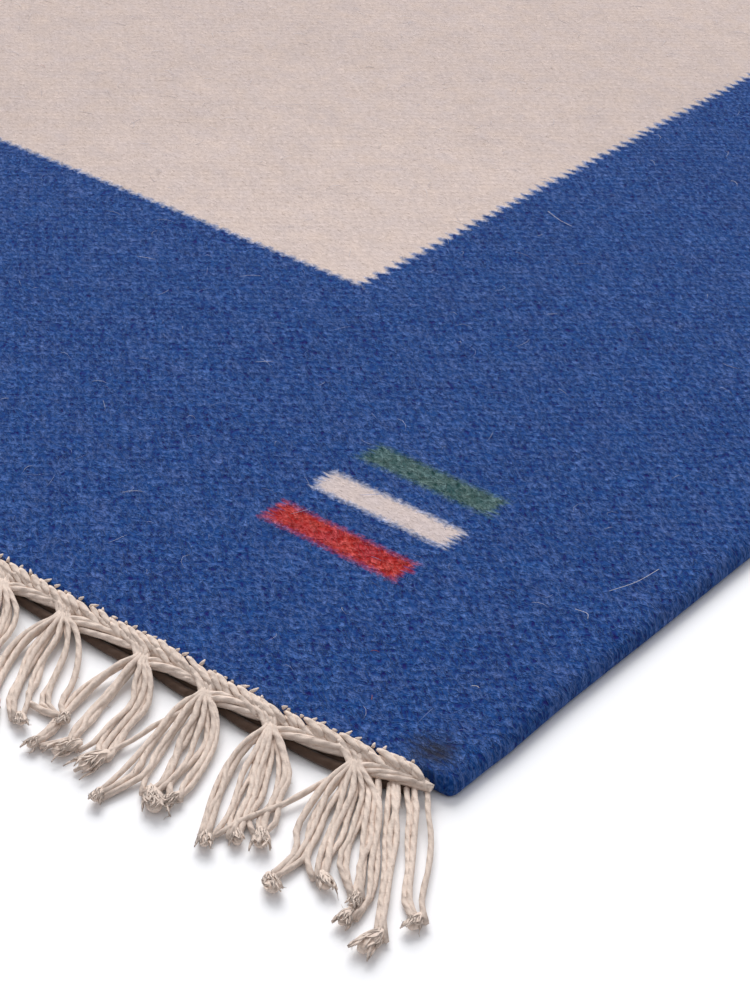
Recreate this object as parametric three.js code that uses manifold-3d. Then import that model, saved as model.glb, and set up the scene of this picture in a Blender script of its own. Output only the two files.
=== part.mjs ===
import * as THREE from "three";
import { mergeVertices } from "three/addons/utils/BufferGeometryUtils.js";
import Module from "manifold-3d";

// A flat-woven wool rug on cotton warps. The warps of each end are plaited into a band
// along the cloth and knotted off as tassels that lie on the floor.
// Millimetres. X runs across the rug, Y along its warps, Z up, and the floor is Z = 0.

// Cloth
const clothWidth = 1200;
const clothLength = 1800;
const clothThickness = 6.5;
const selvedgeRise = 3; // height of the rounding above and below the edge's middle
const selvedgeRound = 2.6; // reach of that rounding in plan
const selvedgeSteps = 3;
const cornerSteps = 4;
const outlineStep = 110; // spacing of the outline's points away from the corners
const wanderSize = 1.6; // how far the hand-woven edges stray from straight
const wanderLength = 430;
const wanderFade = 150; // the stray grows from nothing over this distance from a corner

// Shape of the edges near a corner: how far each stands out at a distance from the corner.
const cornerRows = [
  { from: 9, endOut: -4.2, sideOut: -1.2 },
  { from: 17, endOut: -2.6, sideOut: 1.1 },
  { from: 28, endOut: -1.1, sideOut: 1.4 },
  { from: 41, endOut: 0.5, sideOut: 0.9 },
  { from: 56, endOut: 1.7, sideOut: 0.4 },
  { from: 98, endOut: 0.9, sideOut: 0 },
  { from: 150, endOut: 0, sideOut: 0 },
];

// Plaited band
const bandGap = 0.3; // between the cloth's edge and the band
const bandMargin = 6; // from the first and last tassel to the band's ends
const bandEndShare = 0.75; // size of the band's ends beside its size at a knot
const bandAtKnot = { width: 8.2, height: 6 };
const bandBetween = { width: 5.8, height: 5.6 };

// Section of the band, as shares of its width out from the cloth and of its height.
const bandRows = [
  { across: 0.04, up: 0 },
  { across: 1, up: 0 },
  { across: 0.93, up: 0.72 },
  { across: 0.5, up: 1 },
  { across: 0, up: 0.7 },
];

// Tassels, placed from the +X side: a thin one at the corner, and from the next one on an
// even pitch.
const tasselCount = 50;
const cornerTassel = 8.5; // from the +X side to the corner's tassel
const nextTassel = 23; // from the +X side to the one after it
const lastTassel = 12; // from the -X side to the last one
const rootInset = 3.4; // how far a lock's root lies inside the band's outer edge

// Tassels differ: a shift away from the +X side, the lean in degrees towards it, the length
// on the floor, half the fan's width and the sideways bow. The rows repeat along the end.
const tasselRows = [
  { shift: 0, lean: 31, reach: 46, fan: 5, bow: 1 },
  { shift: 0, lean: 26, reach: 47, fan: 6.4, bow: 1 },
  { shift: 0.8, lean: 27, reach: 45, fan: 5.2, bow: 0.4 },
  { shift: -1.8, lean: 20, reach: 46, fan: 7.4, bow: 0.6 },
  { shift: -3.2, lean: 16, reach: 47, fan: 6.8, bow: 0.5 },
  { shift: 0.7, lean: 29, reach: 48, fan: 7.2, bow: -1 },
  { shift: -0.6, lean: 22, reach: 47, fan: 6.6, bow: 0.8 },
  { shift: 0.9, lean: 25, reach: 45, fan: 7, bow: -0.6 },
  { shift: -1.4, lean: 18, reach: 48, fan: 6, bow: 1.2 },
  { shift: 1.2, lean: 24, reach: 46, fan: 7, bow: 0.2 },
  { shift: -0.4, lean: 28, reach: 47, fan: 6.2, bow: 1 },
];

// Sections of a lock from its root to its end: its share of the reach and of the fan, its
// height over the floor, its width and its thickness. The middle lock swells to the knot
// that ties the tassel and to the frayed brush past it, and the outer locks end at that knot.
const middleLock = [
  { along: 0, spread: 0, lift: 1.4, width: 2, thick: 2.6 },
  { along: 0.15, spread: 0, lift: 0, width: 3, thick: 3.4 },
  { along: 0.48, spread: 0, lift: 0, width: 4.6, thick: 2.6 },
  { along: 0.84, spread: 0, lift: 0, width: 5.6, thick: 3.8 },
  { along: 1, spread: 0, lift: 0, width: 6.4, thick: 1.4 },
];
const outerLock = [
  { along: 0, spread: 0.5, lift: 1.4, width: 2, thick: 2.6 },
  { along: 0.15, spread: 0.68, lift: 0, width: 2.6, thick: 3.4 },
  { along: 0.48, spread: 1, lift: 0, width: 4, thick: 2.6 },
  { along: 0.86, spread: 0.82, lift: 0, width: 1.4, thick: 1.6 },
];
const tasselLocks = [
  { side: -1, rows: outerLock },
  { side: 0, rows: middleLock },
  { side: 1, rows: outerLock },
];

const wool = new THREE.MeshStandardMaterial({ color: "#324c84", roughness: 0.95, metalness: 0 });
const cotton = new THREE.MeshStandardMaterial({ color: "#d8c8b6", roughness: 0.9, metalness: 0 });

const wasm = await Module();
wasm.setup();

// Value of a column at a place among a table's rows: straight between two rows, and level
// before the first and past the last.
function valueAt(rows, key, place, column) {
  const next = rows.findIndex((row) => row[key] >= place);
  if (next === -1) {
    return rows.at(-1)[column];
  }
  if (next === 0) {
    return rows[0][column];
  }
  const before = rows[next - 1];
  const after = rows[next];
  const share = (place - before[key]) / (after[key] - before[key]);
  return THREE.MathUtils.lerp(before[column], after[column], share);
}

// How far an edge of some length stands out at a distance along it.
function edgeOut(along, length, column) {
  const distance = Math.min(along, length - along);
  const fade = THREE.MathUtils.smoothstep(distance, 0, wanderFade);
  const wander = wanderSize * fade * Math.sin((2 * Math.PI * along) / wanderLength);
  return valueAt(cornerRows, "from", distance, column) + wander;
}

// The points of an edge, as distances along it and out from it: close together near the
// corners and evenly spaced between them.
function edgePoints(length, column) {
  const near = cornerRows.map((row) => row.from);
  const start = near.at(-1);
  const steps = Math.round((length - 2 * start) / outlineStep);
  const spacing = (length - 2 * start) / steps;
  const middle = Array.from({ length: steps - 1 }, (_, i) => start + (i + 1) * spacing);
  const far = near.map((from) => length - from).reverse();
  return [...near, ...middle, ...far].map((along) => ({ along, out: edgeOut(along, length, column) }));
}

// The cloth's outline: its four edges, each turned a quarter from the last, and a curve
// round each corner, where the two edges that meet are both drawn in.
function clothOutline() {
  const end = { length: clothWidth, offset: clothLength / 2, column: "endOut", cross: "sideOut" };
  const side = { length: clothLength, offset: clothWidth / 2, column: "sideOut", cross: "endOut" };
  const middle = new THREE.Vector2();
  const drawnIn = cornerRows[0];
  const edges = [end, side, end, side].map(({ length, offset, column, cross }, turn) => {
    const place = (along, out) =>
      new THREE.Vector2(along - length / 2, -offset - out).rotateAround(middle, (turn * Math.PI) / 2);
    const corner = place(-drawnIn[cross], drawnIn[column]);
    const points = edgePoints(length, column).map(({ along, out }) => place(along, out));
    return { corner, points };
  });
  const first = edges[0].points[0];
  const shape = new THREE.Shape().moveTo(first.x, first.y);
  edges.forEach(({ points }, i) => {
    points.slice(1).forEach((point) => shape.lineTo(point.x, point.y));
    const { corner, points: nextPoints } = edges[(i + 1) % edges.length];
    shape.quadraticCurveTo(corner.x, corner.y, nextPoints[0].x, nextPoints[0].y);
  });
  return shape;
}

function clothGeometry() {
  const geometry = new THREE.ExtrudeGeometry(clothOutline(), {
    depth: clothThickness - 2 * selvedgeRise,
    curveSegments: cornerSteps,
    bevelThickness: selvedgeRise,
    bevelSize: selvedgeRound,
    bevelOffset: -selvedgeRound,
    bevelSegments: selvedgeSteps,
  });
  return geometry.translate(0, 0, selvedgeRise);
}

// A closed skin over rings of equally many points, with a flat cap at each end. The points
// of a ring run clockwise as seen from the last ring.
function loft(rings) {
  const sides = rings[0].length;
  const points = rings.flat();
  const index = [];
  for (let ring = 0; ring < rings.length - 1; ring += 1) {
    for (let side = 0; side < sides; side += 1) {
      const a = ring * sides + side;
      const b = ring * sides + ((side + 1) % sides);
      index.push(a, b + sides, b, a, a + sides, b + sides);
    }
  }
  const last = (rings.length - 1) * sides;
  for (let side = 1; side < sides - 1; side += 1) {
    index.push(0, side, side + 1, last, last + side + 1, last + side);
  }
  const geometry = new THREE.BufferGeometry().setFromPoints(points);
  return geometry.setIndex(index);
}

// Y of the cloth's near edge at a place across the rug.
function clothEdge(x) {
  const points = edgePoints(clothWidth, "endOut");
  return -clothLength / 2 - valueAt(points, "along", x + clothWidth / 2, "out");
}

// The tassels of one end from the -X side, with the place of each one's knot.
function tassels() {
  const pitch = (clothWidth - nextTassel - lastTassel) / (tasselCount - 2);
  const fromCorner = Array.from({ length: tasselCount }, (_, i) => {
    const row = tasselRows[i % tasselRows.length];
    const distance = i === 0 ? cornerTassel : nextTassel + (i - 1) * pitch + row.shift;
    return { ...row, x: clothWidth / 2 - distance };
  });
  return fromCorner.reverse();
}

function bandRing(x, size) {
  const inner = clothEdge(x) - bandGap;
  const point = ({ across, up }) => new THREE.Vector3(x, inner - across * size.width, up * size.height);
  return bandRows.map(point);
}

// The band is wide at each knot and narrow between two.
function bandGeometry(knots) {
  const endSize = { width: bandAtKnot.width * bandEndShare, height: bandAtKnot.height * bandEndShare };
  const rings = [bandRing(knots[0].x - bandMargin, endSize)];
  knots.forEach((knot, i) => {
    rings.push(bandRing(knot.x, bandAtKnot));
    if (i < knots.length - 1) {
      rings.push(bandRing((knot.x + knots[i + 1].x) / 2, bandBetween));
    }
  });
  rings.push(bandRing(knots.at(-1).x + bandMargin, endSize));
  return loft(rings);
}

// A lock is three-sided: its flat underside is level on the floor and its ridge is on top.
function lockGeometry(tassel, { side, rows }) {
  const lean = THREE.MathUtils.degToRad(tassel.lean);
  const outward = new THREE.Vector3(Math.sin(lean), -Math.cos(lean), 0);
  const sideways = new THREE.Vector3(Math.cos(lean), Math.sin(lean), 0);
  const root = new THREE.Vector3(tassel.x, clothEdge(tassel.x) - bandGap - bandAtKnot.width + rootInset, 0);
  const rings = rows.map(({ along, spread, lift, width, thick }) => {
    const bow = tassel.bow * Math.sin(Math.PI * along);
    const centre = root.clone().addScaledVector(outward, along * tassel.reach);
    centre.addScaledVector(sideways, side * spread * tassel.fan + bow).setZ(lift);
    const left = centre.clone().addScaledVector(sideways, -width / 2);
    const right = centre.clone().addScaledVector(sideways, width / 2);
    const ridge = centre.clone().setZ(lift + thick);
    return [left, ridge, right];
  });
  return loft(rings);
}

function solidFrom(geometry) {
  geometry.deleteAttribute("normal");
  geometry.deleteAttribute("uv");
  const merged = mergeVertices(geometry);
  return new wasm.Manifold(
    new wasm.Mesh({
      numProp: 3,
      vertProperties: merged.getAttribute("position").array,
      triVerts: new Uint32Array(merged.getIndex().array),
    }),
  );
}

function geometryFrom(solid) {
  const { vertProperties, triVerts } = solid.getMesh();
  const geometry = new THREE.BufferGeometry();
  geometry.setAttribute("position", new THREE.BufferAttribute(vertProperties, 3));
  geometry.setIndex(new THREE.BufferAttribute(triVerts, 1));
  geometry.computeVertexNormals();
  return geometry;
}

// One end's band with the roots of all its locks fused into it.
function fringeGeometry() {
  const knots = tassels();
  let joined = solidFrom(bandGeometry(knots));
  knots.forEach((tassel) => {
    tasselLocks.forEach((lock) => {
      joined = joined.add(solidFrom(lockGeometry(tassel, lock)));
    });
  });
  return geometryFrom(joined);
}

const cloth = new THREE.Mesh(clothGeometry(), wool);
cloth.name = "kilim_cloth";

const fringe = fringeGeometry();
const nearFringe = new THREE.Mesh(fringe, cotton);
nearFringe.name = "fringe_near";

const farFringe = new THREE.Mesh(fringe, cotton.clone());
farFringe.name = "fringe_far";
farFringe.rotation.z = Math.PI;

const rug = new THREE.Group();
rug.name = "kilim_rug";
rug.add(cloth, nearFringe, farFringe);

export default rug;
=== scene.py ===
import math

import bpy
import numpy as np
from mathutils import Matrix, Vector


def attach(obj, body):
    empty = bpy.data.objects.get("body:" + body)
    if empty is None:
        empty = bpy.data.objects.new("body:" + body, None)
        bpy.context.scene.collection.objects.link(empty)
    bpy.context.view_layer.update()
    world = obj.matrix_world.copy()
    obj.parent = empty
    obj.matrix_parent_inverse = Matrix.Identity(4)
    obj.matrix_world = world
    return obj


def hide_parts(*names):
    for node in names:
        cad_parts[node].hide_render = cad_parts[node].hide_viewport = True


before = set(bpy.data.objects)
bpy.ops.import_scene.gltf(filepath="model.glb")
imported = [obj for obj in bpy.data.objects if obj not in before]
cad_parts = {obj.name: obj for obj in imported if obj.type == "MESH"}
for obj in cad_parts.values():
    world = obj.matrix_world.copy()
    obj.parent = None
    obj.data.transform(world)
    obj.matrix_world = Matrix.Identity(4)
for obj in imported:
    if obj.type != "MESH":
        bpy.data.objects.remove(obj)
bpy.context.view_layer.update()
scene = bpy.context.scene
mm = 0.001  # the dictionaries give sizes in millimetres
dice = np.random.default_rng(17)
print("frame:", ", ".join(sorted(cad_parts)))


def fromHex(code):  # sRGB hex to Blender's linear colour
    parts = [int(code[i:i + 2], 16) / 255 for i in (1, 3, 5)]
    linear = [c / 12.92 if c <= 0.04045 else ((c + 0.055) / 1.055) ** 2.4 for c in parts]
    return (*linear, 1.0)


def addNode(tree, kind, inputs=None, **settings):  # a node with its settings and links
    node = tree.nodes.new("ShaderNode" + kind)
    for name, value in settings.items():
        setattr(node, name, value)
    for socket, value in (inputs or {}).items():
        if isinstance(value, bpy.types.Node):
            value = value.outputs[0]
        if isinstance(value, bpy.types.NodeSocket):
            tree.links.new(value, node.inputs[socket])
        else:
            node.inputs[socket].default_value = value
    return node


def newMaterial(name):
    material = bpy.data.materials.new(name)
    material.use_nodes = True
    return material, material.node_tree, material.node_tree.nodes["Principled BSDF"]


def addPiece(name, points, faces, material):
    mesh = bpy.data.meshes.new(name)
    mesh.from_pydata(points, [], faces)
    mesh.polygons.foreach_set("use_smooth", [True] * len(mesh.polygons))
    mesh.materials.append(material)
    piece = bpy.data.objects.new(name, mesh)
    scene.collection.objects.link(piece)
    return piece


def smoothPath(stations, steps):  # strands x stations x 3 to strands x steps x 3, through the stations
    first = 2 * stations[:, :1] - stations[:, 1:2]
    last = 2 * stations[:, -1:] - stations[:, -2:-1]
    padded = np.concatenate([first, stations, last], axis=1)
    place = np.linspace(0, stations.shape[1] - 1, steps)
    at = np.minimum(place.astype(int), stations.shape[1] - 2)
    t = (place - at)[None, :, None]
    p0, p1, p2, p3 = (padded[:, at + i] for i in range(4))
    return 0.5 * (2 * p1 + (p2 - p0) * t + (2 * p0 - 5 * p1 + 4 * p2 - p3) * t ** 2
                  + (3 * p1 - p0 - 3 * p2 + p3) * t ** 3)


def tubes(paths, radii, sides, tone):  # closed tubes round many paths of equally many steps
    count, steps, _ = paths.shape
    along = np.gradient(paths, axis=1)
    along /= np.linalg.norm(along, axis=2, keepdims=True)
    across = np.zeros_like(paths)
    start = np.cross(along[:, 0], (0.31, 0.17, 0.93))
    across[:, 0] = start / np.linalg.norm(start, axis=1, keepdims=True)
    for i in range(1, steps):  # carry the first direction along without twisting it
        lost = np.sum(across[:, i - 1] * along[:, i], axis=1, keepdims=True)
        carried = across[:, i - 1] - along[:, i] * lost
        across[:, i] = carried / np.linalg.norm(carried, axis=1, keepdims=True)
    upward = np.cross(along, across)
    angle = 2 * math.pi * np.arange(sides) / sides
    ring = (np.cos(angle)[:, None] * across[:, :, None] + np.sin(angle)[:, None] * upward[:, :, None])
    points = paths[:, :, None] + ring * np.broadcast_to(radii, (count, steps))[:, :, None, None]
    index = np.arange(count * steps * sides).reshape(count, steps, sides)
    after = np.roll(index, -1, axis=2)
    quads = np.stack([index[:, :-1], after[:, :-1], after[:, 1:], index[:, 1:]], -1).reshape(-1, 4)
    ends = np.concatenate([index[:, 0, ::-1], index[:, -1]])
    length = np.cumsum(np.linalg.norm(np.diff(paths, axis=1, prepend=paths[:, :1]), axis=2), axis=1)
    roundIt = np.broadcast_to(np.arange(sides) / sides, (count, steps - 1, sides))
    low = np.broadcast_to(length[:, :-1, None], roundIt.shape)
    high = np.broadcast_to(length[:, 1:, None], roundIt.shape)
    step = 1 / sides
    corners = [(roundIt, low), (roundIt + step, low), (roundIt + step, high), (roundIt, high)]
    uv = np.stack([np.stack(c, -1) for c in corners], -2).reshape(-1, 2)
    tones = np.repeat(np.broadcast_to(tone, (count, steps)).ravel(), sides)
    return {"points": points.reshape(-1, 3), "quads": quads, "ends": ends, "uv": uv, "tones": tones}


def addStrands(name, groups, material, turned=False):  # one piece of many tubes, or its half turn
    points, faces, uv, tones, offset = [], [], [], [], 0
    for group in groups:
        points.append(group["points"] * ((-1, -1, 1) if turned else (1, 1, 1)) * mm)
        faces += (group["quads"] + offset).tolist() + (group["ends"] + offset).tolist()
        uv += [group["uv"], np.zeros((group["ends"].size, 2))]
        tones.append(group["tones"])
        offset += len(group["points"])
    piece = addPiece(name, np.concatenate(points).tolist(), faces, material)
    layer = piece.data.uv_layers.new(name="strand")
    layer.data.foreach_set("uv", np.concatenate(uv).ravel())
    toneData = piece.data.attributes.new("tone", "FLOAT", "POINT")
    toneData.data.foreach_set("value", np.concatenate(tones))
    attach(piece, "root")
    return piece


# Camera at the photograph's angle
cameraView = {
    "stand": (853.3, -1281.7, 376.6),
    "aim": (507.1, -806.7, 6.5),
    "roll": 3.51,  # degrees
    "lens": 86.12,
    "sensor": 36.0,
}


def placeCamera():
    stand = Vector(cameraView["stand"]) * mm
    back = (stand - Vector(cameraView["aim"]) * mm).normalized()
    right = Vector((0, 0, 1)).cross(back).normalized()
    turn = Matrix((right, back.cross(right), back)).transposed()
    turn = turn @ Matrix.Rotation(math.radians(cameraView["roll"]), 3, "Z")
    data = bpy.data.cameras.new("photoCamera")
    data.lens = cameraView["lens"]
    data.sensor_width = cameraView["sensor"]
    data.clip_start = 0.01
    camera = bpy.data.objects.new("photoCamera", data)
    camera.matrix_world = Matrix.Translation(stand) @ turn.to_4x4()
    scene.collection.objects.link(camera)
    scene.camera = camera


placeCamera()
print("camera placed")


# Wool: dyed, hand-spun weft beaten down over the warps and felted by use.
# To the eye: matt and soft, small tufts and dark pits under a mat of loose hairs, the floats barely showing.
weave = {
    "warpPitch": 2.4,
    "pickPitch": 2.4,
    "halfWidth": 600.0,
    "halfLength": 900.0,
    "sideBorder": 181.0,
    "endBorder": 198.0,
    "toothPitch": 5.1,  # where blue and cream wefts turn back round the same warp
    "scallopReach": 0.5,  # at the field's ends
    "toothReach": 3.0,
    "toothStray": 2.6,
    "barFromSide": 87.6,  # to the bars' middle
    "barLength": 47.4,
    "barThick": 10.6,
    "barRagged": 4.6,
    "barsFromEnd": {"red": 69.9, "white": 92.4, "green": 114.2},
    "blue": "#183f7a",
    "cream": "#dccac2",  # painted light and shade: paler near the field's corners, darker further in
    "paintedShadeCream": "#d0bfb8",
    "paintedShadeFrom": 200.0,
    "red": "#9f2828",
    "white": "#d8c8c4",
    "green": "#3d5757",
    "speck": "#7d6450",
    "veil": 0.0775,  # grey light caught by the fibres' ends
    "pits": 0.091,  # and lost between them
    "hueDrift": (0.036, 0.062),  # of the dark and of the pale wools
    "napTurn": 54.0,  # degrees; the tufts were brushed flat towards the near right corner
    "napStretch": 1.88,
    "edgeFuzz": 2.3,
    "edgeBlend": 3.2,  # fibres of both colours mix over this distance
    "tuftSize": 1.15,
    "fibreTurns": (-64, -86, -44, -73, -25),  # degrees from the nap; most fibres keep near the weft
    "fibreLength": 5.0,
    "fibreGap": 1.3,
    "fibreWidth": 0.05,  # share of the noise's range; drawn coarser than real fibres so that they show
    "tuftHeight": 0.5,
    "floatHeight": 0.09,
    "hairHeight": 0.12,
    "smudgeAt": (589.6, -888.5, 6.5),
    "smudgeSize": 9.0,
    "smudge": "#2b2a2e",
}


def wovenColours(tree, place, fuzzNoise, tuft, drift):  # the design, and how pale the wool is at each place
    split = addNode(tree, "SeparateXYZ", {"Vector": place})
    fromMiddleX = addNode(tree, "Math", {0: split.outputs["X"]}, operation="ABSOLUTE")
    fromMiddleY = addNode(tree, "Math", {0: split.outputs["Y"]}, operation="ABSOLUTE")

    # colours meet in a fuzz of fibres: along a pick they stray far, across it little
    fuzz = addNode(tree, "SeparateColor", {"Color": fuzzNoise})
    strayY = addNode(tree, "Math", {0: fuzz.outputs["Green"], 1: 2 * weave["edgeFuzz"] * mm,
                                    2: -weave["edgeFuzz"] * mm}, operation="MULTIPLY_ADD")
    strayX = addNode(tree, "Math", {0: tuft, 1: 2 * weave["barRagged"] * mm, 2: -weave["barRagged"] * mm},
                     operation="MULTIPLY_ADD")
    pickY = addNode(tree, "Math", {0: fromMiddleY, 1: strayY}, operation="ADD")
    warpX = addNode(tree, "Math", {0: fromMiddleX, 1: strayX}, operation="ADD")

    # a field in a border, toothed along its sides and scalloped at its ends
    toothTurn = 2 * math.pi / (weave["toothPitch"] * mm)
    tooth = addNode(tree, "Math", {0: drift, 1: 6 * mm, 2: split.outputs["Y"]}, operation="MULTIPLY_ADD")
    tooth = addNode(tree, "Math", {0: tooth, 1: toothTurn}, operation="MULTIPLY")
    tooth = addNode(tree, "Math", {0: tooth}, operation="SINE")
    tooth = addNode(tree, "Math", {0: tooth, 1: weave["toothReach"] / 2 * mm, 2: fromMiddleX},
                    operation="MULTIPLY_ADD")
    tooth = addNode(tree, "Math", {0: drift, 1: weave["toothStray"] * mm, 2: tooth}, operation="MULTIPLY_ADD")
    tooth = addNode(tree, "Math", {0: fuzz.outputs["Red"], 1: 2 * weave["edgeFuzz"] * mm, 2: tooth},
                    operation="MULTIPLY_ADD")
    sideLimit = weave["halfWidth"] - weave["sideBorder"] + weave["toothStray"] / 2 + weave["edgeFuzz"]
    inSide = addNode(tree, "Math", {0: sideLimit * mm, 1: tooth}, operation="SUBTRACT")
    scallop = addNode(tree, "Math", {0: split.outputs["X"], 1: toothTurn}, operation="MULTIPLY")
    scallop = addNode(tree, "Math", {0: scallop}, operation="SINE")
    scallop = addNode(tree, "Math", {0: scallop, 1: weave["scallopReach"] * mm, 2: pickY},
                      operation="MULTIPLY_ADD")
    endLimit = weave["halfLength"] - weave["endBorder"]
    inEnd = addNode(tree, "Math", {0: endLimit * mm, 1: scallop}, operation="SUBTRACT")
    inside = addNode(tree, "Math", {0: inSide, 1: inEnd}, operation="MINIMUM")
    blend = weave["edgeBlend"] / 2 * mm
    pale = addNode(tree, "MapRange", {"Value": inside, "From Min": -blend, "From Max": blend})
    # painted light and shade: the cream is painted paler at each field corner and darker further in
    folded = addNode(tree, "CombineXYZ", {"X": fromMiddleX, "Y": fromMiddleY})
    fieldCorner = Vector((weave["halfWidth"] - weave["sideBorder"], endLimit, 0)) * mm
    paintedShade = addNode(tree, "VectorMath", {0: folded, 1: fieldCorner}, operation="DISTANCE").outputs["Value"]
    paintedShade = addNode(tree, "MapRange", {"Value": paintedShade, "From Max": weave["paintedShadeFrom"] * mm})
    cream = addNode(tree, "MixRGB", {"Fac": paintedShade, "Color1": fromHex(weave["cream"]),
                                     "Color2": fromHex(weave["paintedShadeCream"])})
    colour = addNode(tree, "MixRGB", {"Fac": pale, "Color1": fromHex(weave["blue"]), "Color2": cream})

    # three bars in each corner
    barAt = (weave["halfWidth"] - weave["barFromSide"]) * mm
    barX = addNode(tree, "Math", {0: warpX, 1: barAt}, operation="SUBTRACT")
    barX = addNode(tree, "Math", {0: barX}, operation="ABSOLUTE")
    inX = addNode(tree, "Math", {0: weave["barLength"] / 2 * mm, 1: barX}, operation="SUBTRACT")
    for name, fromEnd in weave["barsFromEnd"].items():
        barY = addNode(tree, "Math", {0: pickY, 1: (weave["halfLength"] - fromEnd) * mm}, operation="SUBTRACT")
        barY = addNode(tree, "Math", {0: barY}, operation="ABSOLUTE")
        inY = addNode(tree, "Math", {0: weave["barThick"] / 2 * mm, 1: barY}, operation="SUBTRACT")
        inside = addNode(tree, "Math", {0: inX, 1: inY}, operation="MINIMUM")
        bar = addNode(tree, "MapRange", {"Value": inside, "From Min": -blend, "From Max": blend})
        colour = addNode(tree, "MixRGB", {"Fac": bar, "Color1": colour, "Color2": fromHex(weave[name])})
        if name == "white":
            pale = addNode(tree, "Math", {0: pale, 1: bar}, operation="MAXIMUM")

    # blue fibres stray over the pale wool's edges
    between = addNode(tree, "Math", {0: pale, 1: 0.5}, operation="PINGPONG")
    strayed = addNode(tree, "VectorMath", {0: (-0.11, 0.0, 0.12), "Scale": between}, operation="SCALE")
    return addNode(tree, "VectorMath", {0: colour, 1: strayed}, operation="ADD"), pale


def feltedNap(tree, place, fuzzNoise):  # tufts drawn out along the nap, and the hairs that cross them
    nap = addNode(tree, "Mapping", {"Vector": place, "Rotation": (0, 0, math.radians(weave["napTurn"]))})
    nap = addNode(tree, "VectorMath", {0: nap, 1: (1 / weave["napStretch"], 1, 1)}, operation="MULTIPLY")
    felt = addNode(tree, "TexNoise", {"Vector": nap, "Scale": 1 / (weave["tuftSize"] * mm), "Detail": 3.0,
                                      "Roughness": 0.6})
    felt = addNode(tree, "MapRange", {"Value": felt, "From Min": 0.28, "From Max": 0.72, "To Max": 0.66})
    sway = addNode(tree, "VectorMath", {0: fuzzNoise, "Scale": 0.9 * mm}, operation="SCALE")
    swayed = addNode(tree, "VectorMath", {0: nap, 1: sway}, operation="ADD")
    drawnOut = (1 / (weave["fibreLength"] * mm), 1 / (weave["fibreGap"] * mm), 0)
    mask, hairs = felt, 0.0
    for degrees in weave["fibreTurns"]:
        turned = addNode(tree, "Mapping", {"Vector": swayed, "Rotation": (0, 0, math.radians(degrees)),
                                           "Location": (degrees, 0, 0)})
        drawn = addNode(tree, "VectorMath", {0: turned, 1: drawnOut}, operation="MULTIPLY")
        level = addNode(tree, "TexNoise", {"Vector": drawn, "Scale": 1.0, "Detail": 1.0})
        fibre = addNode(tree, "Math", {0: level, 1: 0.5}, operation="SUBTRACT")
        fibre = addNode(tree, "Math", {0: fibre}, operation="ABSOLUTE")
        fibre = addNode(tree, "MapRange", {"Value": fibre, "From Min": weave["fibreWidth"], "From Max": 0.0})
        shown = addNode(tree, "MapRange", {"Value": mask, "From Min": 0.4, "From Max": 0.55})
        hairs = addNode(tree, "Math", {0: fibre, 1: shown, 2: hairs}, operation="MULTIPLY_ADD")
        mask = level
    return addNode(tree, "Math", {0: hairs, 1: 0.42, 2: felt}, operation="MULTIPLY_ADD"), hairs


def weftFloats(tree, place, fuzzNoise):  # over two warps by two picks
    stray = addNode(tree, "VectorMath", {0: fuzzNoise, "Scale": 1.6 * mm}, operation="SCALE")
    yarnPlace = addNode(tree, "VectorMath", {0: place, 1: stray}, operation="ADD")
    warp, pick = math.pi / (weave["warpPitch"] * mm), math.pi / (weave["pickPitch"] * mm)
    ridges = []
    for slope in ((warp, pick, 0), (warp, -pick, 0)):
        wave = addNode(tree, "VectorMath", {0: yarnPlace, 1: slope}, operation="DOT_PRODUCT").outputs["Value"]
        ridges.append(addNode(tree, "Math", {0: wave}, operation="COSINE"))
    return addNode(tree, "Math", {0: ridges[0], 1: ridges[1]}, operation="ADD")


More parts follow.
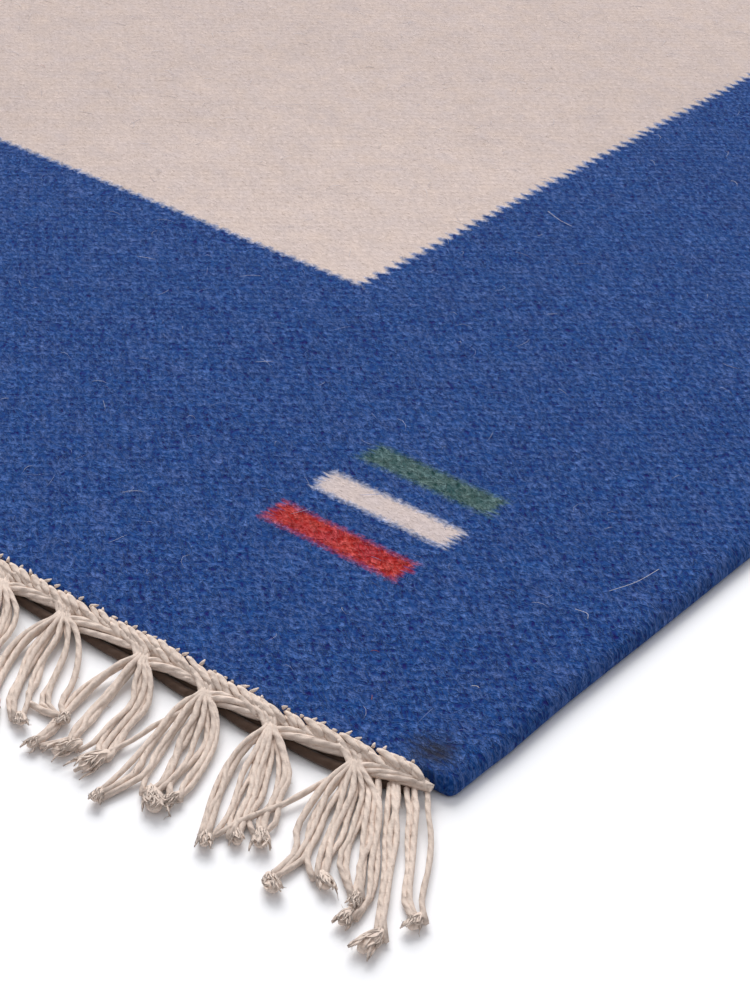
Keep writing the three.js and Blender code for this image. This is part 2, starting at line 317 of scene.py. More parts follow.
def woolMaterial():
    material, tree, shader = newMaterial("wool flat weave")
    place = addNode(tree, "TexCoord").outputs["Object"]
    fuzzNoise = addNode(tree, "TexNoise", {"Vector": place, "Scale": 1 / (1.3 * mm), "Detail": 3.0})
    fuzzNoise = fuzzNoise.outputs["Color"]
    picks = addNode(tree, "VectorMath", {0: place, 1: (1 / (5 * mm), 1 / (1.1 * mm), 0)}, operation="MULTIPLY")
    tuft = addNode(tree, "TexNoise", {"Vector": picks, "Scale": 1.0, "Detail": 2.0})
    drift = addNode(tree, "TexNoise", {"Vector": place, "Scale": 1 / (16 * mm), "Detail": 4.0})
    colour, pale = wovenColours(tree, place, fuzzNoise, tuft, drift)
    felt, hairs = feltedNap(tree, place, fuzzNoise)
    floats = weftFloats(tree, place, fuzzNoise)

    # shade: pale wool hides its pits, dark wool shows them; the dye is uneven
    contrast = addNode(tree, "MapRange", {"Value": pale, "To Min": 1.06, "To Max": 0.15})
    shade = addNode(tree, "Math", {0: felt, 1: 0.235}, operation="SUBTRACT")
    shade = addNode(tree, "Math", {0: floats, 1: 0.06, 2: shade}, operation="MULTIPLY_ADD")
    shade = addNode(tree, "Math", {0: drift, 1: 0.17, 2: shade}, operation="MULTIPLY_ADD")
    uneven = addNode(tree, "Math", {0: drift, 1: 0.12, 2: 0.805}, operation="MULTIPLY_ADD")
    shade = addNode(tree, "Math", {0: shade, 1: contrast, 2: uneven}, operation="MULTIPLY_ADD")
    hue = addNode(tree, "TexNoise", {"Vector": place, "Scale": 1 / (8 * mm), "Detail": 3.0})
    hue = addNode(tree, "Math", {0: hue, 1: 0.5}, operation="SUBTRACT")
    darkDrift, paleDrift = weave["hueDrift"]
    hueDrift = addNode(tree, "MapRange", {"Value": pale, "To Min": darkDrift, "To Max": paleDrift})
    hue = addNode(tree, "Math", {0: hue, 1: hueDrift}, operation="MULTIPLY")
    hue = addNode(tree, "VectorMath", {0: (0.7, 0.0, -1.0), "Scale": hue}, operation="SCALE")
    colour = addNode(tree, "VectorMath", {0: colour, 1: hue}, operation="ADD")
    colour = addNode(tree, "VectorMath", {0: colour, 1: 3 * (weave["veil"],)}, operation="ADD")
    shaded = addNode(tree, "VectorMath", {0: colour, "Scale": shade}, operation="SCALE")
    shaded = addNode(tree, "VectorMath", {0: shaded, 1: 3 * (weave["pits"],)}, operation="SUBTRACT")
    shaded = addNode(tree, "VectorMath", {0: shaded, 1: (0.002, 0.002, 0.002)}, operation="MAXIMUM")

    # brown specks in the pale wool, and a smudge near the corner
    specks = addNode(tree, "TexNoise", {"Vector": picks, "Scale": 2.2, "Detail": 3.0})
    specks = addNode(tree, "MapRange", {"Value": specks, "From Min": 0.58, "From Max": 0.83})
    specks = addNode(tree, "Math", {0: specks, 1: pale}, operation="MULTIPLY")
    shaded = addNode(tree, "MixRGB", {"Fac": specks, "Color1": shaded, "Color2": fromHex(weave["speck"])})
    smudgeAt, smudgeSize = Vector(weave["smudgeAt"]) * mm, weave["smudgeSize"] * mm
    away = addNode(tree, "VectorMath", {0: place, 1: smudgeAt}, operation="DISTANCE").outputs["Value"]
    away = addNode(tree, "Math", {0: tuft, 1: 1.4 * smudgeSize, 2: away}, operation="MULTIPLY_ADD")
    smudge = addNode(tree, "MapRange", {"Value": away, "From Min": 1.7 * smudgeSize,
                                        "From Max": 0.8 * smudgeSize, "To Max": 0.85})
    shaded = addNode(tree, "MixRGB", {"Fac": smudge, "Color1": shaded, "Color2": fromHex(weave["smudge"])})

    # relief, calmer on the pale wool
    height = addNode(tree, "Math", {0: felt, 1: weave["tuftHeight"]}, operation="MULTIPLY")
    height = addNode(tree, "Math", {0: floats, 1: weave["floatHeight"], 2: height}, operation="MULTIPLY_ADD")
    height = addNode(tree, "Math", {0: hairs, 1: weave["hairHeight"], 2: height}, operation="MULTIPLY_ADD")
    calm = addNode(tree, "MapRange", {"Value": pale, "To Min": 1.0, "To Max": 0.28})
    height = addNode(tree, "Math", {0: height, 1: calm}, operation="MULTIPLY")
    bump = addNode(tree, "Bump", {"Height": height, "Distance": mm, "Strength": 1.0})
    tree.links.new(shaded.outputs[0], shader.inputs["Base Color"])
    tree.links.new(bump.outputs[0], shader.inputs["Normal"])
    shader.inputs["Roughness"].default_value = 0.95
    shader.inputs["Specular IOR Level"].default_value = 0.1
    shader.inputs["Sheen Weight"].default_value = 0.04
    shader.inputs["Sheen Roughness"].default_value = 0.6
    return material


wool = woolMaterial()
print("wool mixed")


# The cloth: a flat slab with rounded edges on the frame's outline
cloth = {
    "thickness": 6.5,
    "cadRim": 3.25,  # height of the widest line in the frame
    "rim": 2.3,  # height of the widest line round the edge
    "sideShoulder": 4.6,  # reach of the upper rounding in plan
    "endShoulder": 1.4,
    "underShoulder": 1.8,
    "cornerRadius": 4.0,
    "edgeLines": (0, 0.2, 0.6, 1.2, 1.8, 2.9, 4.6, 8.0),  # grid lines in from an edge
    "gridStep": 10.0,
    "endCorner": 8.7,  # the outline is read up to these distances from a corner
    "sideCorner": 12.0,
    "edgeReach": 60.0,  # the outline's stray fades over this distance inwards
    "waves": ((0.16, 310, 0.4), (0.12, 170, 1.3), (0.08, 96, 2.2)),  # height, length, turn
}


def outlineFrom(nodeName):  # the near edge's and the right edge's points, from the frame
    points = np.array([v.co[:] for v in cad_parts[nodeName].data.vertices]) / mm
    points = points[abs(points[:, 2] - cloth["cadRim"]) < 0.5]
    halfWidth, halfLength = weave["halfWidth"], weave["halfLength"]
    insideX = abs(points[:, 0]) < halfWidth - cloth["endCorner"]
    insideY = abs(points[:, 1]) < halfLength - cloth["sideCorner"]
    near = points[insideX & (points[:, 1] < -0.9 * halfLength)]
    right = points[insideY & (points[:, 0] > 0.9 * halfWidth)]
    return near[np.argsort(near[:, 0])], right[np.argsort(right[:, 1])]


nearEdge, rightEdge = outlineFrom("kilim_cloth")


def nearY(x):  # the cloth's near edge at a place across the rug
    return np.interp(x, nearEdge[:, 0], nearEdge[:, 1])


def rightX(y):
    return np.interp(y, rightEdge[:, 1], rightEdge[:, 0])


def gridLines(half):
    edge = np.array(cloth["edgeLines"])
    inner = half - edge[-1]
    count = round(2 * inner / cloth["gridStep"])
    return np.concatenate([edge - half, np.linspace(-inner, inner, count + 1)[1:-1], (half - edge)[::-1]])


def waves(x, y):  # the upper face lies a little uneven
    return sum(size * (np.sin(2 * math.pi * (x * math.cos(turn) + y * math.sin(turn)) / length) - 1)
               for size, length, turn in cloth["waves"])


def makeCloth():
    halfWidth, halfLength = weave["halfWidth"], weave["halfLength"]
    flatX, flatY = np.meshgrid(gridLines(halfWidth), gridLines(halfLength), indexing="ij")
    edgeX, edgeY = halfWidth - abs(flatX), halfLength - abs(flatY)

    # round the corners, then follow the outline
    radius = cloth["cornerRadius"]
    a = np.clip(1 - edgeX / radius, 0, 1)
    b = np.clip(1 - edgeY / radius, 0, 1)
    x = flatX - np.sign(flatX) * radius * a * (1 - np.sqrt(1 - b * b / 2))
    y = flatY - np.sign(flatY) * radius * b * (1 - np.sqrt(1 - a * a / 2))
    fadeX = np.clip(1 - edgeX / cloth["edgeReach"], 0, 1) ** 2
    fadeY = np.clip(1 - edgeY / cloth["edgeReach"], 0, 1) ** 2
    outX = np.where(flatX > 0, rightX(flatY), rightX(-flatY)) - halfWidth
    outY = -halfLength - np.where(flatY < 0, nearY(flatX), nearY(-flatX))
    x = x + np.sign(flatX) * outX * fadeX
    y = y + np.sign(flatY) * outY * fadeY

    # height of the upper and lower faces
    def lift(sideReach, endReach):
        inset = np.hypot(np.clip(1 - edgeX / sideReach, 0, None), np.clip(1 - edgeY / endReach, 0, None))
        return np.sqrt(np.clip(1 - inset ** 2, 0, 1))

    rim, thickness = cloth["rim"], cloth["thickness"]
    rise = thickness - rim + waves(flatX, flatY)
    topHeight = rim + rise * lift(cloth["sideShoulder"], cloth["endShoulder"])
    underHeight = rim - rim * lift(cloth["underShoulder"], cloth["underShoulder"])
    top, under = np.stack([x, y, topHeight], -1), np.stack([x, y, underHeight], -1)

    # the two faces share the rim's points
    rows, columns = x.shape
    topIndex = np.arange(rows * columns).reshape(rows, columns)
    underIndex = topIndex.copy()
    underIndex[1:-1, 1:-1] = rows * columns + np.arange((rows - 2) * (columns - 2)).reshape(rows - 2, -1)
    points = np.concatenate([top.reshape(-1, 3), under[1:-1, 1:-1].reshape(-1, 3)]) * mm
    faces = []
    for index, order in ((topIndex, (0, 1, 2, 3)), (underIndex, (3, 2, 1, 0))):
        corners = [index[:-1, :-1], index[1:, :-1], index[1:, 1:], index[:-1, 1:]]
        faces.append(np.stack([corners[i].ravel() for i in order], -1))
    return addPiece("woven_cloth", points.tolist(), np.concatenate(faces).tolist(), wool)


wovenCloth = makeCloth()
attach(wovenCloth, "root")
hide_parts("kilim_cloth")
print("cloth woven:", len(wovenCloth.data.polygons), "faces")


# Loose wool hairs lie on the cloth and stand out from its edges; some are undyed and catch the light.
loose = {
    "count": 5000,
    "length": (2.0, 8.0),
    "radius": 0.06,  # a little thicker than real hairs so that they show
    "steps": 4,
    "blue": "#4f74bd",
    "undyed": "#ded9dc",
    "rust": "#a8553d",
    "long": ((0.9, ((584.1, -800.3), (587.3, -791.4), (588.6, -781.5))),  # tone, places on the cloth
             (0.9, ((433.1, -610.0), (440.5, -613.2), (446.5, -614.3))),
             (0.8, ((581.9, -813.9), (585.6, -813.4), (587.2, -815.5))),
             (1.0, ((581.4, -861.2), (582.5, -860.4), (583.4, -860.6))),
             (2.0, ((564.6, -881.7), (565.1, -882.3), (565.7, -883.4)))),
}


def hairMaterial():
    material, tree, shader = newMaterial("loose wool hair")
    tone = addNode(tree, "Attribute", attribute_name="tone").outputs["Fac"]
    colour = addNode(tree, "MixRGB", {"Fac": tone, "Color1": fromHex(loose["blue"]),
                                      "Color2": fromHex(loose["undyed"])}, use_clamp=True)
    odd = addNode(tree, "Math", {0: tone, 1: 1.5}, operation="GREATER_THAN")
    colour = addNode(tree, "MixRGB", {"Fac": odd, "Color1": colour, "Color2": fromHex(loose["rust"])})
    tree.links.new(colour.outputs[0], shader.inputs["Base Color"])
    shader.inputs["Roughness"].default_value = 0.8
    return material


looseHair = hairMaterial()


def hairPaths(x, y, z, heading, length, arch):  # hairs bend as they go and arch over the cloth
    count, steps = x.size, loose["steps"]
    part = np.linspace(0, 1, steps)
    bend = dice.normal(0, 1.1, (count, 1))
    turn = heading[:, None] + bend * part
    step = length[:, None] / (steps - 1)
    across = np.cumsum(np.cos(turn) * step, axis=1)
    along = np.cumsum(np.sin(turn) * step, axis=1)
    rise = arch[:, None] * np.sin(math.pi * part)
    return np.stack([x[:, None] + across, y[:, None] + along, z[:, None] + rise], -1)


# Cotton: undyed plied warp cord, matt and warm white.
# To the eye: a fine slanting twist along each cord, brown in the crevices, soiled towards its ends.
cotton = {
    "clean": "#e8d5c7",
    # the dark colour: soil on strands and tips, and painted shadow on the dark cords under the plait
    "soiledAndShadowed": "#58453a",
    "twist": 4.2,  # length of one turn of a ply
    "plies": 2,
    "twistHeight": 0.1,
}


def cottonMaterial():
    material, tree, shader = newMaterial("cotton warp cord")
    strand = addNode(tree, "UVMap", uv_map="strand")  # x round the cord, y along it in millimetres
    split = addNode(tree, "SeparateXYZ", {"Vector": strand})
    tone = addNode(tree, "Attribute", attribute_name="tone").outputs["Fac"]
    place = addNode(tree, "TexCoord").outputs["Object"]
    turns = addNode(tree, "Math", {0: split.outputs["Y"], 1: 1 / cotton["twist"]}, operation="MULTIPLY")
    turns = addNode(tree, "Math", {0: split.outputs["X"], 1: cotton["plies"], 2: turns},
                    operation="MULTIPLY_ADD")
    angle = addNode(tree, "Math", {0: turns, 1: 2 * math.pi}, operation="MULTIPLY")
    ply = addNode(tree, "Math", {0: angle}, operation="SINE")
    fuzz = addNode(tree, "TexNoise", {"Vector": place, "Scale": 1 / (0.7 * mm), "Detail": 3.0})
    stain = addNode(tree, "TexNoise", {"Vector": place, "Scale": 1 / (9 * mm), "Detail": 2.0})
    # the mix towards the dark colour is soil on strands and tips, and painted shadow on the darkest cords
    # under the plait
    soilAndShade = addNode(tree, "Math", {0: stain, 1: 0.4, 2: tone}, operation="MULTIPLY_ADD")
    soilAndShade = addNode(tree, "Math", {0: soilAndShade, 1: 0.2}, operation="SUBTRACT", use_clamp=True)
    colour = addNode(tree, "MixRGB", {"Fac": soilAndShade, "Color1": fromHex(cotton["clean"]),
                                      "Color2": fromHex(cotton["soiledAndShadowed"])})
    shade = addNode(tree, "Math", {0: ply, 1: 0.035, 2: 0.86}, operation="MULTIPLY_ADD")
    shade = addNode(tree, "Math", {0: fuzz, 1: 0.24, 2: shade}, operation="MULTIPLY_ADD")
    shaded = addNode(tree, "VectorMath", {0: colour, "Scale": shade}, operation="SCALE")
    height = addNode(tree, "Math", {0: fuzz, 1: 2.0, 2: ply}, operation="MULTIPLY_ADD")
    bump = addNode(tree, "Bump", {"Height": height, "Distance": cotton["twistHeight"] * mm,
                                  "Strength": 1.0})
    tree.links.new(shaded.outputs[0], shader.inputs["Base Color"])
    tree.links.new(bump.outputs[0], shader.inputs["Normal"])
    shader.inputs["Roughness"].default_value = 0.9
    shader.inputs["Specular IOR Level"].default_value = 0.2
    shader.inputs["Sheen Weight"].default_value = 0.1
    return material


cottonCord = cottonMaterial()
print("cotton mixed")


# Fringe: the warps plaited along the end and knotted off as tassels
fringe = {
    "tassels": 50,
    "cornerTassel": 12.0,  # from the +X side
    "cornerReach": 58.0,
    "cornerRoot": 7.0,  # it has no knot: its strands come from under the plait
    "cornerNeckOut": 4.5,
    "nextTassel": 23.0,
    "lastTassel": 12.0,  # from the -X side
    "neckOut": 6.4,  # from the cloth's edge to a tassel's neck
    "strands": 12,
    "strandRadius": 0.84,
    "strandSteps": 16,
    "extraFan": 2.7,  # the outer strands lie past the frame's outer locks' middles
    "tips": 3,  # frayed tips to a tassel, each of four strands
    "tipLength": 7.5,
    "tipSwell": (1.1, 1.4, 1.8, 2.1, 2.2, 1.9, 1.0),  # radii along a tip's core, and where its yarns lie
    "tipFlare": (1.1, 1.4, 1.8, 2.1, 2.3, 2.4, 2.6),
    "tipYarns": 22,
    "fluff": {"tips": 2000, "strands": 1300, "plait": 2000},  # fibres that stand out
    "stitchPitch": 3.6,  # a stitch to three warps in two rows
    "stitchRows": (  # stations of a stitch: along the band, out from the cloth's edge, height
        ((-4.0, -0.3, 5.5), (-2.3, 0.4, 6.1), (-0.1, 1.4, 6.3), (2.1, 2.3, 6.0), (3.8, 3.0, 5.4)),
        ((-4.2, 1.6, 5.3), (-2.3, 2.1, 5.8), (0.2, 2.8, 5.6), (2.4, 3.4, 5.0), (4.0, 4.0, 4.2)),
    ),
    "innerCords": ((2.2, 0, 4.2, 1.6, 0.2), (2.4, 0.8, 1.7, 1.7, 1.7),  # out, bowed, height, radius, tone; the two darkest cords paint the shadow under the plait
                   (4.7, 1.7, 1.4, 1.4, 1.7)),
    "bundle": (  # of cords between two knots: share of the gap, out, height, radius
        (0.02, 6.0, 2.9, 1.7), (0.20, 4.9, 3.9, 1.5), (0.42, 4.3, 4.2, 1.3), (0.66, 3.7, 4.2, 1.0),
        (0.88, 3.0, 4.1, 0.6),
    ),
}
tasselColumns = ("shift", "lean", "reach", "fan", "bow", "stray")  # stray: how far left a loose strand lies
tasselRows = np.array([
    (0.0, 34, 46, 5.0, 1.0, 0),
    (0.0, 26, 47, 6.4, 1.0, 28),
    (0.8, 27, 45, 5.2, 0.4, 0),
    (-1.8, 20, 46, 7.4, 0.6, 20),
    (-3.2, 16, 47, 6.8, 0.5, 0),
    (0.7, 29, 48, 7.2, -1.0, 0),
    (-0.6, 22, 47, 6.6, 0.8, 20),
    (0.9, 25, 45, 7.0, -0.6, 0),
    (-1.4, 18, 48, 6.0, 1.2, 0),
    (1.2, 24, 46, 7.0, 0.2, 16),
    (-0.4, 28, 47, 6.2, 1.0, 0),
])


def tasselTable():  # each tassel's row with its place across the rug, from the +X side
    number = np.arange(fringe["tassels"])
    table = dict(zip(tasselColumns, tasselRows[number % len(tasselRows)].T))
    pitch = (2 * weave["halfWidth"] - fringe["nextTassel"] - fringe["lastTassel"]) / (fringe["tassels"] - 2)
    fromSide = fringe["nextTassel"] + (number - 1) * pitch + table["shift"]
    fromSide[0] = fringe["cornerTassel"]
    table["x"] = weave["halfWidth"] - fromSide
    table["neckY"] = nearY(table["x"]) - np.where(number == 0, fringe["cornerNeckOut"], fringe["neckOut"])
    table["reach"][0] = fringe["cornerReach"]
    table["lean"] = np.radians(table["lean"])
    table["fan"] = table["fan"] + fringe["extraFan"]
    return table


tassels = tasselTable()


def tasselPoint(which, along, sideways, height):  # from a tassel's own directions to the rug's
    lean = tassels["lean"][which]
    x = tassels["x"][which] + along * np.sin(lean) + sideways * np.cos(lean)
    y = tassels["neckY"][which] - along * np.cos(lean) + sideways * np.sin(lean)
    return np.stack([x, y, height + 0 * x], -1)


# stations of a tassel's strand: along is a share of the reach, spread a share of the fan
strandStations = (
    {"along": -0.07, "spread": 0.10, "height": 3.0, "loose": 0.0},
    {"along": 0.02, "spread": 0.20, "height": 3.3, "loose": 0.1},
    {"along": 0.09, "spread": 0.50, "height": 2.9, "loose": 0.2},
    {"along": 0.19, "spread": 0.82, "height": 2.0, "loose": 0.5},
    {"along": 0.34, "spread": 1.00, "height": 1.2, "loose": 0.9},
    {"along": 0.52, "spread": 1.06, "height": 0.9, "loose": 1.2},
    {"along": 0.71, "spread": 1.03, "height": 0.9, "loose": 1.2},
)


def fluff(points, count, longest):  # short fibres standing out from many points
    points = points.reshape(-1, 3)
    root = points[dice.integers(0, len(points), count)]
    out = dice.normal(0, 1, (count, 3))
    out *= dice.uniform(0.4, 1, (count, 1)) * longest / np.linalg.norm(out, axis=1, keepdims=True)
    bend = dice.normal(0, 0.25, (count, 3))
    path = np.stack([root, root + out / 2 + bend, root + out], 1)
    path[:, :, 2] = np.maximum(path[:, :, 2], 0.1)
    return tubes(path, np.array([[0.09, 0.08, 0.04]]), 3, np.array([[0.0]]))


def makeTassels():  # the strands, and each tassel's tips as (along, sideways)
    count, strands, radius = fringe["tassels"], fringe["strands"], fringe["strandRadius"]
    steps, tips = fringe["strandSteps"], fringe["tips"]
    which = np.repeat(np.arange(count), strands)
    order = np.tile(np.arange(strands), count)
    share = np.clip(2 * order / (strands - 1) - 1 + dice.normal(0, 0.13, which.size), -1, 1)
    fan, reach, bow = (tassels[column][which] for column in ("fan", "reach", "bow"))
    layer = (order % 2) * 1.5 * radius
    root = np.where(which == 0, fringe["cornerRoot"], 0)
    sway = dice.normal(0, 0.9, which.size) * (1 - 0.6 * abs(share))

    # strands gather in tips, apart from the stray ones
    tip = order * tips // strands
    tipSide = tassels["fan"][:, None] * np.linspace(-0.95, 0.95, tips) + dice.normal(0, 1.1, (count, tips))
    tipAlong = tassels["reach"][:, None] * dice.uniform(0.80, 0.97, (count, tips))
    inTip = order - tip * strands / tips - 1.5
    strayTurn = tassels["stray"][which]
    stray = (order == 0) & (strayTurn > 0)
    endSide = np.where(stray, -strayTurn, tipSide[which, tip] + 0.8 * inTip)
    strayAlong = np.sqrt(np.maximum((0.92 * reach) ** 2 - strayTurn ** 2, 1))
    endAlong = np.where(stray, strayAlong, tipAlong[which, tip])
    stations = []
    for row in strandStations:
        ahead = max(row["along"], 0)
        sideways = row["spread"] * share * fan + root * share * max(1 - row["spread"], 0)
        sideways = sideways + bow * math.sin(math.pi * ahead) + sway * row["loose"]
        sideways = np.where(stray, -strayTurn * ahead / 0.95, sideways)
        sideways = sideways + dice.normal(0, 0.5, which.size) * row["loose"]
        height = row["height"] + layer * (1 - 0.55 * row["loose"] / 1.2) + np.where(stray, 0.8, 0)
        height = np.where(which == 0, np.minimum(height, 2.0 + 2 * row["along"] + 0.5 * layer), height)
        along = row["along"] * np.where(stray & (row["along"] > 0.1), strayAlong / 0.95, reach)
        stations.append(tasselPoint(which, along, sideways, height))
    endHeight = np.where(stray, radius, 1.3 + 0.4 * (order % 3 - 1))
    stations.append(tasselPoint(which, endAlong, endSide, endHeight))
    paths = smoothPath(np.stack(stations, 1), steps)
    paths[:, :, 2] = np.maximum(paths[:, :, 2], 1.2 * radius)
    radii = radius * dice.uniform(0.88, 1.08, (which.size, 1)) * dice.normal(1, 0.07, (which.size, steps))
    radii[stray, -1] *= 0.6
    tone = 0.1 * dice.random((which.size, 1)) + np.linspace(0, 1, steps) ** 3 * 0.1
    return paths, tubes(paths, radii, 6, tone), tipAlong.ravel(), tipSide.ravel()


def makeTips(tipAlong, tipSide):  # each tip swells from its strands' ends into a soft lump
    which = np.repeat(np.arange(fringe["tassels"]), fringe["tips"])
    size, soilAndShade, turned = dice.uniform([[0.65], [-0.3], [-0.6]], [[1.2], [0.0], [0.6]], (3, which.size))
    heading = tassels["lean"][which] + turned
    ahead = np.stack([np.sin(heading), -np.cos(heading), 0 * heading], -1)[:, None]
    aside = np.stack([np.cos(heading), np.sin(heading), 0 * heading], -1)[:, None]
    base = tasselPoint(which, tipAlong - 3.0, tipSide, 1.6)[:, None]
    swell, rings = np.array(fringe["tipSwell"]), np.linspace(0, 1, len(fringe["tipSwell"]))
    core = base + ahead * (fringe["tipLength"] * size[:, None] * rings)[:, :, None]
    lump = tubes(core, size[:, None] * swell * dice.uniform(0.85, 1.1, (size.size, swell.size)), 8,
                 soilAndShade[:, None] + 0.1 * rings)
    lump["points"][:, 2] = np.maximum(0.55 + 0.66 * lump["points"][:, 2], 0.15)

    # untwisted yarns lie matted round it and splay past its end
    part = np.linspace(-0.5, 0.5, 5)
    tip = np.repeat(np.arange(which.size), fringe["tipYarns"])
    middle, around, turn, bend = dice.uniform([[0.3], [-0.2], [-0.5], [-0.9]], [[0.95], [3.3], [0.5], [0.9]],
                                              (4, tip.size))
    turn = turn[:, None] + bend[:, None] * part
    length = dice.uniform(4.0, 7.0, (tip.size, 1))
    share = middle[:, None] + np.cos(turn) * part * length / fringe["tipLength"]
    angle = around[:, None] + np.sin(turn) * part * length / 2.2
    lift = np.array([-0.6, -0.15, 0.0, 0.05, 0.2])
    wide = size[tip][:, None] * np.interp(share, rings, fringe["tipFlare"]) + lift
    yarn = base[tip] + ahead[tip] * (fringe["tipLength"] * size[tip][:, None] * share)[:, :, None]
    yarn = yarn + aside[tip] * (wide * np.cos(angle))[:, :, None]
    yarn[:, :, 2] = np.maximum(yarn[:, :, 2] + 0.66 * wide * np.sin(angle), 0.4)
    radii = np.array([[0.25, 0.42, 0.46, 0.4, 0.2]]) * dice.uniform(0.7, 1.15, (tip.size, 1))
    tone = soilAndShade[tip] + 0.1 * middle + dice.uniform(-0.1, 0.1, tip.size)
    return [lump, tubes(yarn, radii, 3, tone[:, None]), fluff(yarn, fringe["fluff"]["tips"], 1.9)]


def plaitPath(x, stations, steps):  # stations of (along the band, out from the cloth's edge, height)
    points = []
    for dx, out, height in stations:
        points.append(np.stack([x + dx, nearY(x + dx) - out, height + 0 * x], -1))
    return smoothPath(np.stack(points, 1), steps)


def makePlait():
    knotX = np.sort(tassels["x"])
    startX, endX = knotX[0] - 6, knotX[-1] + 6.2
    plait = []

    # a filling cord, and under it two dark cords that lie on the floor, bowed out before each knot: painted
    # shadow under the lifted plait
    x = np.arange(startX + 2, endX - 1.5, 4.0)
    before = knotX[np.clip(np.searchsorted(knotX, x) - 1, 0, None)]
    after = knotX[np.clip(np.searchsorted(knotX, x), None, knotX.size - 1)]
    bow = np.clip((x - before) / 14, 0, 1) * np.clip((after - x) / 4, 0, 1)
    for out, bowed, height, radius, tone in fringe["innerCords"]:
        cord = np.stack([x, nearY(x) - out - bowed * bow, height + 0 * x], -1)
        plait.append(tubes(cord[None], radius, 6, np.array([[tone]])))

    # two rows of slanting stitches: the warps come up through the wool and turn over the filling cord
    stitchX = np.arange(startX + 0.4, endX - 2.0, fringe["stitchPitch"])
    stitches = []
    for shift, row in enumerate(fringe["stitchRows"]):
        rowX = stitchX + 0.5 * shift * fringe["stitchPitch"] + dice.normal(0, 0.32, stitchX.size)
        slant = dice.uniform(0.8, 1.2, stitchX.size)
        row = [(dx * slant, out, height) for dx, out, height in row]
        stitches.append(plaitPath(rowX, row, 7) + dice.normal(0, 0.22, (stitchX.size, 1, 3)))
    stitches = np.concatenate(stitches)
    swell = np.array([0.5, 0.78, 0.95, 1.0, 0.97, 0.88, 0.7])
    plait.append(tubes(stitches, swell * dice.uniform(0.84, 1.14, (len(stitches), 1)), 5,
                       dice.uniform(-0.12, 0.12, (len(stitches), 1))))

    # from each knot a bundle of cords runs, half twisted, under the stitches before the next knot
    left, gap = knotX[:-1], np.diff(knotX)
    gap[-1] = weave["halfWidth"] - 0.5 - left[-1]  # the last bundle runs on to the corner
    knotX = knotX[:-1]
    shares, middleOut, middleHeight, wide = np.array(fringe["bundle"]).T
    at = left[:, None] + shares * gap[:, None]
    for cord in range(5):
        twist = 2 * math.pi * cord / 5 + 3.4 * shares
        out = middleOut + wide * np.cos(twist)
        height = middleHeight + 0.62 * wide * np.sin(twist)
        bundle = np.stack([at, nearY(at) - out, height + 0 * at], -1) + dice.normal(0, 0.2, (left.size, 1, 3))
        plait.append(tubes(smoothPath(bundle, 9), 0.92 * dice.uniform(0.86, 1.1, (left.size, 1)), 5,
                           dice.uniform(-0.1, 0.14, (left.size, 1))))

    # cords come down over the stitches into each knot
    for lane in range(4):
        cords = plaitPath(knotX, ((-7.6 + 2.0 * lane, 2.6, 5.3), (-4.4 + 1.45 * lane, 4.1, 5.0),
                                  (-1.9 + 0.95 * lane, 5.9, 4.1), (-0.7 + 0.55 * lane, 7.0, 3.1)), 8)
        cords += dice.normal(0, 0.12, (knotX.size, 1, 3))
        plait.append(tubes(cords, 0.9, 5, dice.uniform(-0.1, 0.1, (knotX.size, 1))))

    # a hitch holds each tassel's neck
    turn = np.linspace(-0.3, 1.3, 10) * math.pi
    neckX, neckY = knotX[:, None], (nearY(knotX) - fringe["neckOut"])[:, None]
    height = 2.0 + 1.7 * np.sin(turn) + 0 * neckX
    hitch = np.stack([neckX + 2.7 * np.cos(turn), neckY - 0.9 * np.cos(turn), height], -1)
    plait.append(tubes(hitch, 0.85, 6, dice.uniform(0.05, 0.2, (knotX.size, 1))))

    # the warps' cut ends show on the wool
    cutX = stitchX - 1.2 + dice.normal(0, 1.0, stitchX.size)
    heading, reach = dice.normal(0.3, 0.6, cutX.size), dice.uniform(0.7, 2.4, cutX.size)
    root = np.stack([cutX, nearY(cutX) - 0.1, 6.5 + 0 * cutX], -1)
    away = np.stack([np.sin(heading), np.cos(heading), dice.uniform(0, 0.4, cutX.size)], -1)
    cut = np.stack([root, root + away * (0.5 * reach)[:, None], root + away * reach[:, None]], 1)
    plait.append(tubes(cut, np.array([[0.55, 0.48, 0.2]]), 5, np.array([[-0.3]])))
    fuzzy = np.concatenate([stitches.reshape(-1, 3), cords.reshape(-1, 3)])
    plait.append(fluff(fuzzy, fringe["fluff"]["plait"], 2.2))
    return plait


plaitGroups = makePlait()
strandPaths, strandTubes, tipAlong, tipSide = makeTassels()
tipGroups = makeTips(tipAlong, tipSide) + [fluff(strandPaths[:, 2:], fringe["fluff"]["strands"], 2.4)]
fringePieces = []
for end, turned in (("near", False), ("far", True)):
    plaitPiece = addStrands("plait_" + end, plaitGroups, cottonCord, turned)
    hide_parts("fringe_" + end)
    fringePieces += [plaitPiece, addStrands("tassels_" + end, [strandTubes], cottonCord, turned),
                     addStrands("tips_" + end, tipGroups, cottonCord, turned)]
    print("fringe tied:", end, [len(piece.data.polygons) for piece in fringePieces[-3:]], "faces")


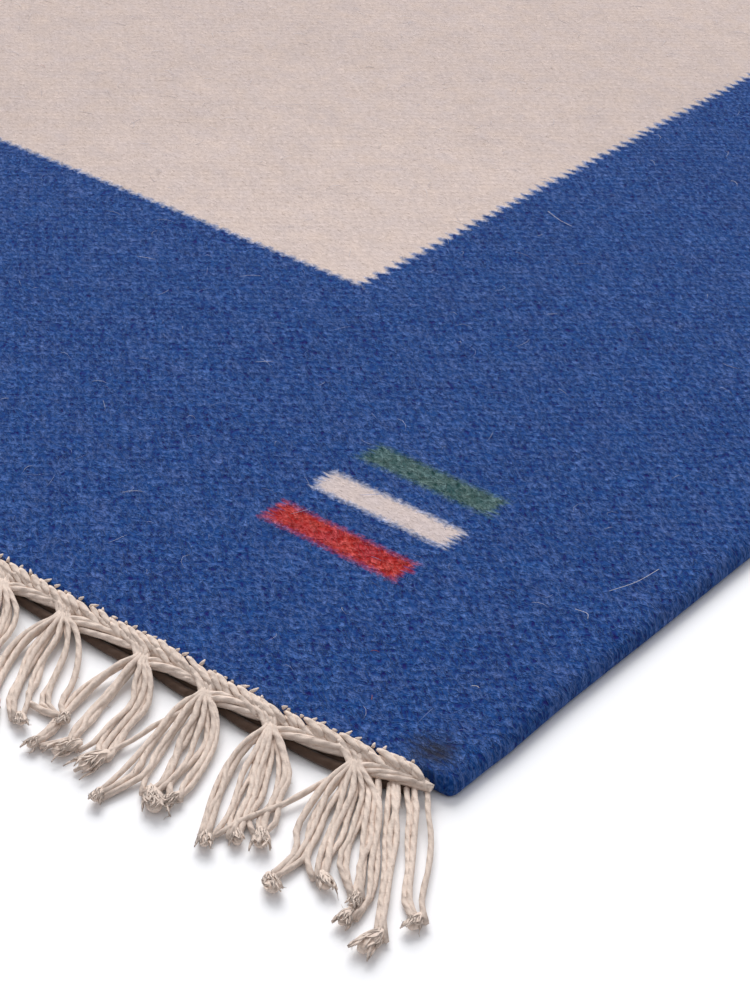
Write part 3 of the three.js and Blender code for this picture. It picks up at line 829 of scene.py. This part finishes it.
def makeHairs():
    count, halfWidth, halfLength = loose["count"], weave["halfWidth"], weave["halfLength"]
    x = dice.uniform(8 - halfWidth, halfWidth - 8, count)
    y = dice.uniform(8 - halfLength, halfLength - 8, count)
    heading = dice.normal(0, 0.9, count) + math.pi * dice.integers(0, 2, count)
    length = dice.uniform(*loose["length"], count)
    z = cloth["thickness"] + waves(x, y) + 0.03
    paths = hairPaths(x, y, z, heading, length, dice.uniform(0.05, 0.9, count))
    tone = dice.beta(0.9, 1.8, count)
    inField = (abs(x) < halfWidth - weave["sideBorder"]) & (abs(y) < halfLength - weave["endBorder"])
    tone = np.where(inField, 0.9 + 0.1 * tone, tone)
    tone = np.where(dice.random(count) < 0.02, 2.0, tone)
    radii = loose["radius"] * np.array([[0.6, 1.0, 1.0, 0.5]])
    longTone = np.array([tone for tone, places in loose["long"]])
    long = np.array([places for tone, places in loose["long"]])
    long = np.pad(long, ((0, 0), (0, 0), (0, 1)), constant_values=cloth["thickness"] + 0.3)
    near, far = (tubes(paths[half], radii, 3, tone[half][:, None]) for half in (y < 0, y >= 0))
    return [[near, tubes(smoothPath(long, 8), 1.3 * loose["radius"], 3, longTone[:, None])], [far]]


for name, group in zip(("hairs_near", "hairs_far"), makeHairs()):
    addStrands(name, group, looseHair)


# Stage: a pale matt floor and soft light
stage = {
    "floorSize": 14000,
    "floorDrop": 0.3,
    "floorColour": "#fafafb",
    "keyFrom": (-2900, 2500, 4200),
    "keySize": 4600,
    "keyWatts": 420,
    "sky": "#f4f5fa",
    "skyAbove": 0.72,  # the sky's strength overhead and at the horizon
    "skyLow": 0.24,
}


def makeStage():
    material, tree, shader = newMaterial("matt painted floor")
    grain = addNode(tree, "TexNoise", {"Scale": 3.0, "Detail": 4.0})
    colour = addNode(tree, "MixRGB", {"Fac": grain, "Color1": fromHex(stage["floorColour"]),
                                      "Color2": fromHex("#fcfcfd")})
    tree.links.new(colour.outputs[0], shader.inputs["Base Color"])
    shader.inputs["Roughness"].default_value = 0.9
    half, drop = stage["floorSize"] / 2 * mm, -stage["floorDrop"] * mm
    corners = [(-half, -half, drop), (half, -half, drop), (half, half, drop), (-half, half, drop)]
    floor = addPiece("floor", corners, [(0, 1, 2, 3)], material)
    keyData = bpy.data.lights.new("softKey", "AREA")
    keyData.size = stage["keySize"] * mm
    keyData.energy = stage["keyWatts"]
    key = bpy.data.objects.new("softKey", keyData)
    key.location = Vector(stage["keyFrom"]) * mm
    key.rotation_euler = (Vector((300, -700, 0)) * mm - key.location).to_track_quat("-Z", "Y").to_euler()
    scene.collection.objects.link(key)
    world = bpy.data.worlds.new("softSky")
    world.use_nodes = True
    sky = world.node_tree.nodes["Background"]
    sky.inputs["Color"].default_value = fromHex(stage["sky"])
    up = addNode(world.node_tree, "SeparateXYZ", {
        "Vector": addNode(world.node_tree, "TexCoord").outputs["Generated"]})
    strength = addNode(world.node_tree, "MapRange", {
        "Value": up.outputs["Z"], "To Min": stage["skyLow"], "To Max": stage["skyAbove"]})
    world.node_tree.links.new(strength.outputs[0], sky.inputs["Strength"])
    scene.world = world
    scene.view_settings.view_transform = "Standard"


makeStage()
print("stage lit")
